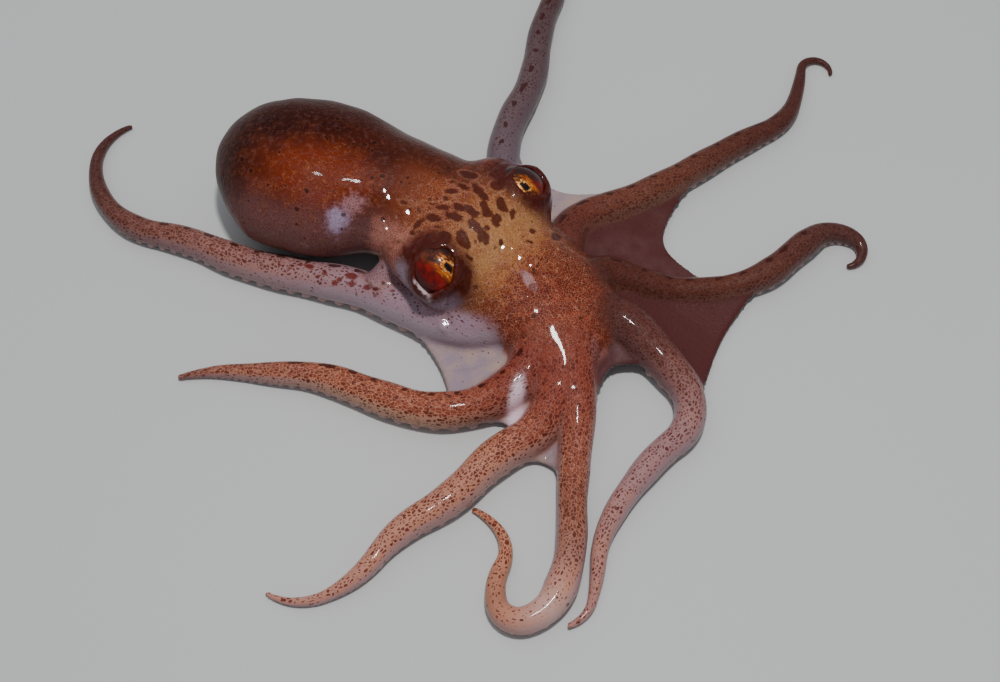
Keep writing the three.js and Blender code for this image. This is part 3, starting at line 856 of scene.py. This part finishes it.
def skin_material():
    """A ground colour by place on the body, then colour cells in three sizes: a net of
    crowded cells (a Voronoi pattern's cells, each dark out to a set way from its edges, so
    that they shrink to dots where the skin is pale), finer ones and sparse larger spots on
    head and mantle, and the dashes and blotches. Cells also dimple the wet surface a little."""
    made, place, paint = material(
        "octopus_skin", IOR=1.34, Specular_IOR_Level=0.15, Coat_Roughness=0.05, Coat_IOR=1.33,
        Subsurface_Weight=0.1, Subsurface_Scale=0.0005, Subsurface_Radius=(1.0, 0.35, 0.2))
    mm, mark = place.scaled(1000.0), place.mark

    def warped(scale, by, vector=mm):
        shift = mm.noise(scale, out=1).scaled(by)
        return mm.node("ShaderNodeVectorMath", {"operation": "ADD"}, {0: vector, 1: shift})

    def cells(scale, vector, feature="F1"):
        """A Voronoi pattern's distance, and a random share for each of its cells."""
        inputs = {"Vector": vector, "Scale": scale}
        pattern = mm.node("ShaderNodeTexVoronoi", {"feature": feature}, inputs)
        if feature != "F1":
            return pattern
        colour = Sock(made.node_tree, pattern.socket.node.outputs["Color"])
        return pattern, mm.node("ShaderNodeSeparateColor", {}, {0: colour})

    trunk, web, raw, side, flush, lilac, glow, across, socket, dusk, fringe, crest = map(mark, (
        "trunk", "web", "raw", "side", "flush", "lilac", "glow", "across", "socket", "dusk",
        "fringe", "crest"))
    cloud, patchy, grain = mm.noise(0.22, 3.0), mm.noise(0.6, 3.0), mm.noise(1.6, 4.0)
    drift, blur, speckle = cloud - 0.5, patchy - 0.5, grain - 0.5
    height = mm.node("ShaderNodeSeparateXYZ", {}, {0: mm}, 2)
    limb = 1 - trunk

    # the arms' and webs' ground: what shows between the cells
    arm = (lilac + drift * 0.6).ramp(0.0, 1.0).mix(srgb(204, 138, 110), srgb(152, 134, 154))
    arm = arm.cover((flush * 0.75 + drift * 0.4 - 0.1, (202, 130, 98)))
    flank = lilac.ramp(0.0, 0.35).mix(srgb(190, 142, 116), srgb(180, 140, 140))
    flank = flank.cover((lilac.ramp(0.4, 0.9), (166, 146, 156)))
    arm = (side + fringe + blur * 0.4).ramp(0.25, 0.95).mix(arm, flank)
    # painted shade: below 0 it paints the arm pale as a painted highlight, above 0 it darkens the arm
    arm = arm.cover((mark("root") * (1 - lilac) * 0.9, (142, 66, 58)), (0.0 - dusk, (238, 198, 180)))
    arm = dusk.mix(arm, lilac.mix(srgb(92, 50, 38), srgb(84, 74, 80)))
    thin = (cloud + patchy - 1.0).ramp(-0.3, 0.35).mix(srgb(160, 140, 152), srgb(184, 156, 146))
    sheet = (mark("pale") + drift * 0.5).ramp(0.05, 0.95).mix(srgb(86, 44, 42), thin)
    sheet = sheet.cover((mark("wedge"), (246, 216, 226)))

    # the trunk's ground, from crown to mantle, and the tints, painted shade and painted highlight that
    # lie over it
    rear = raw.ramp(0.42, 0.55)
    low = (across + drift * 0.3).ramp(0.5, 1.0) * rear
    throat = (mark("throat") * 1.1 + speckle * 0.8 + blur * 0.6).ramp(0.25, 1.25)
    # the trunk's far side, darkened further down as painted shade
    away = (0.0 - across + drift * 0.3).ramp(0.2, 0.9)
    nape = raw.ramp(0.3, 0.37) * across.ramp(0.2, 0.6)
    brow = raw.ramp(0.2, 0.26) * raw.ramp(0.4, 0.34)
    rust = (patchy + (mm.noise(1.2) - 0.5) * 0.6).ramp(0.47, 0.6) * (1 - rear)
    body = raw.colours(
        (0.0, srgb(160, 70, 48)), (0.13, srgb(162, 70, 42)), (0.2, srgb(164, 90, 50)),
        (0.27, srgb(178, 124, 74)), (0.35, srgb(152, 90, 48)), (0.39, srgb(128, 64, 32)),
        (0.45, srgb(134, 62, 27)), (0.53, srgb(112, 48, 22)), (0.58, srgb(66, 20, 9)),
        (0.8, srgb(44, 11, 6)), (1.0, srgb(52, 24, 17)))
    body = body.cover(
        ((glow * 1.25 + blur * 0.5 + drift * 0.5).ramp(0.1, 1.1), (122, 40, 8)),
        ((mark("bruise") + blur * 0.4).ramp(0.2, 0.9), (44, 9, 6)),
        (low * 0.9, (118, 78, 76)),
        (throat, (178, 114, 100)),
        (away * (0.35 + 0.3 * rear + raw.ramp(0.25, 0.34) * 0.35), (58, 20, 12)),
        (crest * 0.9 + drift * 0.2, (70, 26, 10)),
        (mark("flank") * (1 - rear) * (0.7 - nape * 0.6) + drift * 0.3, (92, 38, 26)),
        # round each eye: the skin's own maroon, deepened as painted shade round the eye's swelling
        (socket * 0.95 + blur * 0.3, (72, 16, 10)),
        (rust * (1 - socket) * (0.7 - brow * 0.5), (122, 46, 28)),
        ((mark("blush") * 1.1 + speckle * 1.3).ramp(0.3, 1.1), (164, 116, 120)))
    patch = (mark("patch") * 1.2 + speckle * 0.9 + blur * 0.9).ramp(0.3, 1.15)
    body = patch.mix(body, patch.mix(srgb(136, 88, 102), srgb(172, 150, 176)))
    streak = (mark("streak") * 1.3 + speckle * 0.5).ramp(0.3, 0.8)
    body = body.cover(
        (streak * 0.9, (182, 138, 142)),
        (mark("fold") * 0.8 + speckle * 0.3, (164, 146, 162)),
        # a painted highlight: a pale glare along the near eye's lower lid
        ((mark("glare") * 1.2 + speckle * 1.2).ramp(0.3, 1.0) * 0.85, (222, 200, 204)),
        (mark("funnel") * 0.9, (142, 112, 122)))
    ground = trunk.mix(web.mix(arm, sheet), body)

    # crowded cells: a net of thin pale lines where they are open, dots where they shrink
    beside = mm.node("ShaderNodeCombineXYZ", {}, {0: mark("along") * 0.72, 1: mark("aside"), 2: height})
    flat = trunk.ramp(0.45, 0.55).mix(beside, mm.scaled(0.6))
    crowded = warped(0.9, 0.5, warped(3.6, 0.26, flat))
    edge = cells(2.35, crowded, "DISTANCE_TO_EDGE")
    chance = cells(2.35, crowded)[1]
    crown = raw.ramp(0.26, 0.14) * trunk
    openness = limb * (flush * 1.1 - side * 0.55 - web * 0.5 - fringe * 0.5 - lilac * 0.35)
    openness = openness + crown * 0.85 - streak * 0.8
    shrunk = (0.3 - openness * 0.38 + (chance - 0.5) * 0.1 + blur * 0.12).maths("MAXIMUM", 0.045)
    inside = edge - shrunk + speckle * 0.1
    cell = inside.ramp(-0.03, 0.05) * (limb + crown).ramp(0.0, 0.6)
    tone = chance * openness.ramp(0.2, 0.8) + blur * 0.3
    dark = tone.colours((0.0, srgb(94, 26, 18)), (0.35, srgb(122, 42, 28)), (0.9, srgb(146, 62, 40)))
    # the cells darken too where the arm lies in painted shade
    dark = dark.cover((lilac * 0.4, (104, 52, 52)), (dusk * 0.9, (64, 22, 15)))
    ground = (cell * (0.86 - web * 0.35 - dusk * 0.25)).mix(ground, dark)
    core = inside.ramp(0.05, 0.2) * cell * (patchy + (chance - 0.5) * 0.5).ramp(0.62, 0.3)
    stains = (mm.noise(0.75, 3.0) + speckle * 0.4).ramp(0.47, 0.56) * crown
    ground = ground.cover((stains * 0.8, (104, 28, 17)))
    ground = (core * (0.5 - dusk * 0.25)).mix(ground, dusk.mix(srgb(92, 26, 18), srgb(40, 12, 9)))

    # finer cells over head and mantle, golden between them on the mantle's middle
    fine = cells(2.9, warped(1.3, 0.3), "DISTANCE_TO_EDGE")
    specks = (fine - 0.15 + blur * 0.3 + speckle * 0.3).ramp(-0.04, 0.12) * trunk
    strength = 0.42 + rear * 0.08 + low * 0.1 + glow * 0.1 - patch * 0.3 - crown * 0.25 - brow * 0.2
    pale = (0.08 - fine + speckle * 0.2).ramp(0.0, 0.08) * trunk * (1 - rear) * (1 - socket)
    gold = (0.07 - fine + speckle * 0.16).ramp(0.0, 0.07) * rear * trunk * (1 - patch)
    gold = gold * (grain + blur).ramp(0.4, 0.75)

    # sparse larger spots, each in a thin paler ring on the mantle
    apart, luck = cells(0.8, warped(0.7, 0.8))
    wide = (luck - 0.3) * 0.38 + speckle * 0.12 - web * 0.12 - limb * 0.06
    large = (wide - apart).ramp(-0.02, 0.03)
    ring = (0.07 - (apart - wide - 0.05).maths("ABSOLUTE")).ramp(0.0, 0.06) * rear * trunk

    # tiny black dots where the skin is pale, and dashes in a row along some arms
    points, odds = cells(1.5, warped(1.1, 0.6))
    spotted = side * 0.8 + lilac + (patch + throat) * trunk * 0.6
    dot = (odds * 0.16 - points).ramp(-0.02, 0.02) * spotted.ramp(0.1, 0.7)
    step = mark("along") * 0.27 + (mm.noise(0.4) - 0.5) * 1.2
    within = (step.maths("FRACT") - 0.5) * 5.0
    off = mark("row") * 2.3 + speckle * 1.6
    dash = (1.0 - (within * within + off * off)).ramp(0.0, 0.5) * limb * (1 - web)
    dash = dash * mark("girth").ramp(1.0, 2.0)

    # blotches on the head and a row of red ones on the pale arm behind it
    uneven = (mm.noise(1.0, 3.0) - 0.5) * 0.8 + speckle * 0.5
    depth = mark("blotch") + uneven * (0.4 + trunk * 0.6) + 0.06
    rim = (0.2 - (depth + 0.2).maths("ABSOLUTE")).ramp(0.0, 0.2) * trunk * (1 - socket)
    ground = ground.cover(
        (specks * strength, (92, 38, 20)),
        (pale * (0.5 - crest * 0.4), (212, 150, 114)),
        (gold * (0.05 + glow * 0.6), (190, 104, 36)),
        (ring * luck.ramp(0.55, 0.8) * 0.2, (150, 84, 50)),
        (large * (0.55 + rear * trunk * 0.2 - dusk * 0.2), (44, 14, 12)),
        (dot * 0.85, (40, 20, 22)),
        (dash * 0.85, (62, 16, 12)),
        (rim * 0.16, (196, 146, 112)))
    stain = trunk.mix(srgb(112, 36, 26), patchy.mix(srgb(88, 30, 16), srgb(58, 18, 14)))
    paint(Base_Color=(depth.ramp(-0.06, 0.16) * 0.9).mix(ground, stain))

    # wet skin: a little uneven gloss, wettest on the papillae, dimples and fine wrinkles
    wet = 0.4 - raw.ramp(0.6, 0.66) * trunk * 0.32 + mark("papilla") * 0.6
    relief = edge.ramp(0.0, 0.3) * 0.35 + grain * 0.7 + mm.noise(0.6, 2.0) * 1.3
    paint(
        Coat_Weight=wet.maths("MINIMUM", 1.0),
        Roughness=0.36 + drift * 0.2 + cell * 0.06 + web * 0.06,
        Normal=mm.node("ShaderNodeBump", {}, {"Strength": 0.35, "Distance": 0.0002, "Height": relief}))
    return made


def new_marks(piece, marks):
    """Stores marks on a piece's points."""
    for name, values in marks.items():
        layer = piece.data.attributes.new(name, "FLOAT", "POINT")
        layer.data.foreach_set("value", np.ascontiguousarray(values, np.float32))


new_marks(skin, skin_marks(points))
skin.data.materials.append(skin_material())
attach(skin, "root")
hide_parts(*[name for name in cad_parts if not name.startswith("eye")])

# ---------------------------------------------------------------- eyes
# Each eye is a firm, glossy ball sunk in its swelling under thin lids. A dark bar of a pupil
# lies level with the body, in a brown iris with gold flecks, and the ball's outer side is red.

BALL_RINGS, BALL_STEPS = 44, 64


def revolved(outline, steps):
    """A closed shape of revolution round the Z axis from (radius, height) rows that start and
    end on it: a circle of points for each row between, and one point for each end."""
    turn = np.linspace(0, 2 * math.pi, steps, endpoint=False)
    rows, ends = outline[1:-1], outline[[0, -1]]
    rings = np.stack([rows[:, :1] * np.cos(turn), rows[:, :1] * np.sin(turn),
                      np.repeat(rows[:, 1:], steps, 1)], 2).reshape(-1, 3)
    points = np.vstack([rings, [(0, 0, height) for _, height in ends]])
    k = np.arange(steps)
    on, last = (k + 1) % steps, len(rings) - steps
    base = steps * np.arange(len(rows) - 1)[:, None]
    quads = np.stack([base + k, base + steps + k, base + steps + on, base + on], 2).reshape(-1, 4)
    top = np.stack([k, on, np.full(steps, len(rings))], 1)
    bottom = np.stack([last + on, last + k, np.full(steps, len(rings) + 1)], 1)
    return points, [*quads.tolist(), *top.tolist(), *bottom.tolist()]


def eye_ball(side):
    """A closed ball: a half circle from the gaze's pole, revolved and turned so that X lies
    along the slit and Z along the gaze. Returns the points in mm, the faces and the marks."""
    gaze, slit, outward = eye_axes(side, *GAZES[side])
    a = np.linspace(0, math.pi, BALL_RINGS + 1)
    way, faces = revolved(np.stack([np.sin(a), np.cos(a)], 1), BALL_STEPS)
    way = way @ np.array([slit, outward, gaze])
    if slit @ np.cross(outward, gaze) < 0:
        faces = [face[::-1] for face in faces]
    points = beside_trunk(EYE_AT, EYE_OFFSET, EYE_HEIGHT, side) + BALL_RADIUS * way
    return points, faces, {
        "ahead": BALL_RADIUS * (way @ slit), "aside": BALL_RADIUS * (way @ outward),
        "facing": way @ gaze, "above": BALL_RADIUS * (way @ np.array([0.1, 0.85, 0.5])),
    }


def eye_material():
    """The iris is dark red-brown and turns deep red on the outer side. Gold lies in broken
    streaks, the high parts of a stretched noise, that thin out away from the pupil, and in a
    bent bright line along its outer edge. The pupil is a short bar with ragged edges."""
    made, place, paint = material(
        "octopus_eye", IOR=1.36, Specular_IOR_Level=0.25, Coat_Weight=0.5, Coat_Roughness=0.03,
        Coat_IOR=1.36)
    mm = place.scaled(1000.0)
    ahead, aside, facing, above = map(mm.mark, ("ahead", "aside", "facing", "above"))
    flat = mm.node("ShaderNodeCombineXYZ", {}, {"X": ahead * 0.55, "Y": aside * 1.3, "Z": facing})
    mottle, fine, streaks = mm.noise(0.9, 3.0), mm.noise(3.0, 4.0), flat.noise(1.9, 3.0)
    blur, speckle = mottle - 0.5, fine - 0.5
    away = (ahead * ahead * 0.5 + aside * aside).maths("SQRT")

    # brown round the pupil, orange just outside it, then a red globe and a dark inner side
    colour = (mottle + speckle * 0.6).ramp(0.3, 0.7).mix(srgb(58, 22, 12), srgb(112, 48, 18))
    outward = aside + blur * 1.6
    ember = (1.0 - ((outward - 1.0) * 1.6).maths("ABSOLUTE")).ramp(0.0, 0.9) * away.ramp(2.2, 0.9)
    colour = colour.cover((ember * 0.8, (190, 84, 20)))
    red = (mottle * 0.7 + fine * 0.3).ramp(0.3, 0.7).mix(srgb(74, 8, 6), srgb(150, 20, 12))
    shade = (above + blur * 1.4).ramp(1.2, 2.6) * away.ramp(0.8, 1.8)
    colour = outward.ramp(1.0, 2.0).mix(colour, red).cover(
        ((0.0 - outward).ramp(0.8, 2.0), (48, 18, 14)),
        ((away + blur * 1.2).ramp(2.5, 3.7) * 0.95, (52, 14, 11)),
        (shade * 0.9, (40, 22, 22)))

    # gold flecks and a gold line, over which painted glints and then the dark pupil lie
    bar = (ahead * 1.45 + speckle * 0.9).maths("ABSOLUTE") ** 3.0
    bar = bar + ((aside - ahead * 0.15) * 3.0 + speckle * 1.7).maths("ABSOLUTE") ** 3.0
    ring = away.ramp(1.9, 0.7) * bar.ramp(0.9, 1.5)
    fleck = (streaks + speckle * 0.35 + ring * 0.1).ramp(0.56, 0.66) * ring
    bend = aside - 0.55 - ahead.ramp(0.2, 0.9) * 0.45 + speckle * 0.5
    line = (0.15 - bend.maths("ABSOLUTE")).ramp(0.0, 0.1)
    line = line * ahead.ramp(-0.9, -0.2) * ahead.ramp(1.7, 1.0)
    gold = (fleck + line * 0.9).maths("MINIMUM", 1.0)
    # painted glints: the brightest gold specks near the pupil painted almost white
    painted_glint = (gold + speckle * 1.6).ramp(0.95, 1.3) * ring.ramp(0.1, 0.4)
    pupil = bar.ramp(1.15, 0.75) * facing.ramp(0.0, 0.2)
    colour = colour.cover(
        (gold * 0.9, (222, 132, 38)), (painted_glint * 0.9, (255, 226, 164)), (pupil, (14, 8, 9)))
    paint(Base_Color=colour, Metallic=gold * (1 - pupil) * 0.4, Roughness=0.24 + fine * 0.2)
    return made


eye_look = eye_material()
for side, name in ((1, "eye_right"), (-1, "eye_left")):
    points, faces, marks = eye_ball(side)
    ball = new_piece(name.replace("eye", "eyeball"), points, faces)
    new_marks(ball, marks)
    ball.data.materials.append(eye_look)
    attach(ball, "root")
    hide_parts(name)

# ---------------------------------------------------------------- suckers and mouth
# Two alternating rows of pale cups run under every arm, smaller towards its tip, with their
# rims on the floor. Where the arms meet, a puckered lip surrounds a dark horny beak.

# an upright cup's outline from its root in the arm, down over the rim and up into the bowl
CUP_OUTLINE = np.array([
    (0, 1.6), (0.62, 1.6), (0.93, 0.5), (1.0, 0.2), (0.9, 0.0), (0.7, 0.08), (0.4, 0.36), (0, 0.36),
])
CUP_STEPS = 8
FIRST_CUP, LAST_CUP = 3.2, 1.0  # how far a row keeps from the arm's root and tip
CUP_RADIUS, CUP_ASIDE, CUP_STRIDE = 0.44, 0.43, 0.47  # shares of the arm's radius


def sucker_places():
    """Rows of (x, y, height of the arm's sole, radius), stepping along each arm by a share of
    its radius and from one side of its middle to the other."""
    rows = []
    for name, (points, tangents, distances) in arm_courses.items():
        along, hand = FIRST_CUP, 1
        while along < distances[-1] - LAST_CUP:
            radius = float(arm_radius(name, along)) - SLACK
            x, y = (np.interp(along, distances, points[:, i]) for i in (0, 1))
            tx, ty = (np.interp(along, distances, tangents[:, i]) for i in (0, 1))
            aside = CUP_ASIDE * radius * hand
            sole = float(arm_height(name, along)) - SOLE * radius
            rows.append((x + ty * aside, y - tx * aside, sole, CUP_RADIUS * radius))
            along += CUP_STRIDE * radius
            hand = -hand
    return np.array(rows)


cup, cup_faces = revolved(CUP_OUTLINE, CUP_STEPS)
places = sucker_places()
rim = np.maximum(places[:, 2] - 0.5 * places[:, 3], 0.02)
spread = cup[None, :, :2] * places[:, None, 3:4] + places[:, None, :2]
height = rim[:, None] + cup[None, :, 2] * np.maximum(places[:, 2] - rim, 0.1)[:, None]
points = np.concatenate([spread, height[..., None]], 2).reshape(-1, 3)
faces = [[i + n * len(cup) for i in face] for n in range(len(places)) for face in cup_faces]
suckers = new_piece("suckers", points, faces)

pale_look, place, paint = material(
    "pale_sucker", Roughness=0.35, Coat_Weight=0.4, Coat_Roughness=0.1)
grain = place.scaled(1000.0).noise(2.5, 3.0)
paint(
    Base_Color=grain.mix(srgb(214, 186, 182), srgb(178, 132, 128)),
    Normal=grain.node("ShaderNodeBump", {}, {"Strength": 0.25, "Distance": 0.0001, "Height": grain}))
suckers.data.materials.append(pale_look)
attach(suckers, "root")

# a puckered lip: its outline's radius swells and shrinks ten times round the mouth
LIP_OUTLINE = np.array([
    (0, 1.3), (2.3, 1.3), (2.15, 0.55), (1.75, 0.15), (1.3, 0.0), (0.9, 0.2), (0.75, 0.7),
    (0.7, 1.2), (0, 1.2),
])
LIP_STEPS, LIP_FOLDS = 40, 10
lip, lip_faces = revolved(LIP_OUTLINE, LIP_STEPS)
pucker = 1 + 0.06 * np.cos(LIP_FOLDS * np.arctan2(lip[:, 1], lip[:, 0]))
lip = lip * np.stack([pucker, pucker, np.ones(len(lip))], 1)
mouth = new_piece("mouth_lip", lip + (*RING_CENTRE, MOUTH_ROOF - 0.9), lip_faces)
mouth.data.materials.append(pale_look)
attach(mouth, "root")

# a hooked beak: a narrow cone, bent ahead by the square of the way down it
BEAK_OUTLINE = np.array([
    (0, 1.2), (0.72, 1.2), (0.7, 0.8), (0.55, 0.45), (0.3, 0.15), (0.08, 0.0), (0, 0.0),
])
BEAK_STEPS, BEAK_TOP = 24, 1.2
beak_form, beak_faces = revolved(BEAK_OUTLINE, BEAK_STEPS)
beak_form[:, 0] = beak_form[:, 0] * 0.7 + 0.25 * (BEAK_TOP - beak_form[:, 2])**2
beak = new_piece("beak", beak_form + (*RING_CENTRE, MOUTH_ROOF - 0.75), beak_faces)
horn_look, place, paint = material("dark_horn", Roughness=0.3)
paint(Base_Color=place.noise(900.0).mix(srgb(42, 22, 14), srgb(84, 50, 28)))
beak.data.materials.append(horn_look)
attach(beak, "root")
